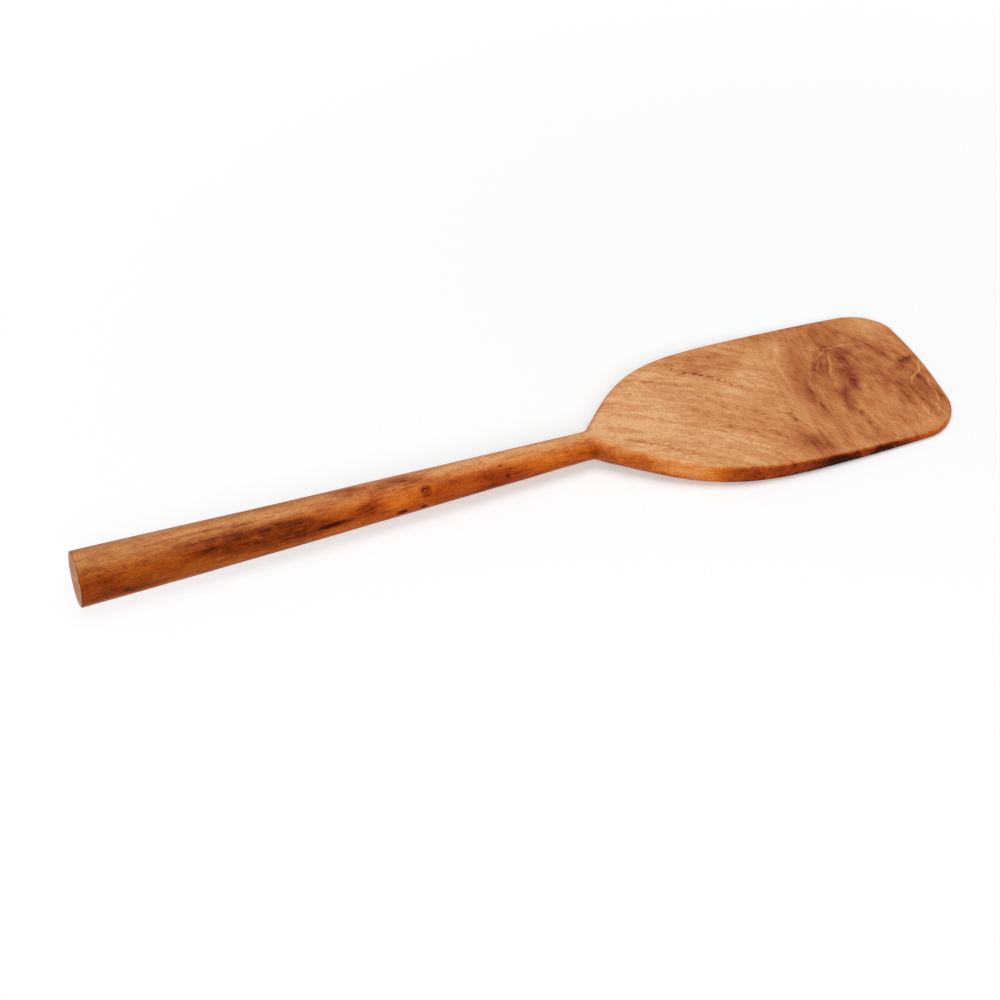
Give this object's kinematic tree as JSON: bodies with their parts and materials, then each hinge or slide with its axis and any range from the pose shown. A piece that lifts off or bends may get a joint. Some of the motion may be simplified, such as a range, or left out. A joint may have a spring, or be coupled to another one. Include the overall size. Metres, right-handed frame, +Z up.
{
  "type": "wooden turner",
  "caption": "Wooden turner carved from one piece of teak: a round tapering handle, a narrow neck and a broad flat blade with rounded corners that thins to its tip.",
  "frame": {"origin": "middle of the overall length, on the surface that the turner lies on", "axes": "+X from the butt of the handle to the tip of the blade, +Z up out of the blade's upper face"},
  "size_m": [0.3506, 0.0828, 0.0212],
  "materials": {
    "teak": "sanded and oiled, satin"
  },
  "bodies": {
    "root": {"turner": "teak"}
  },
  "joints": []
}
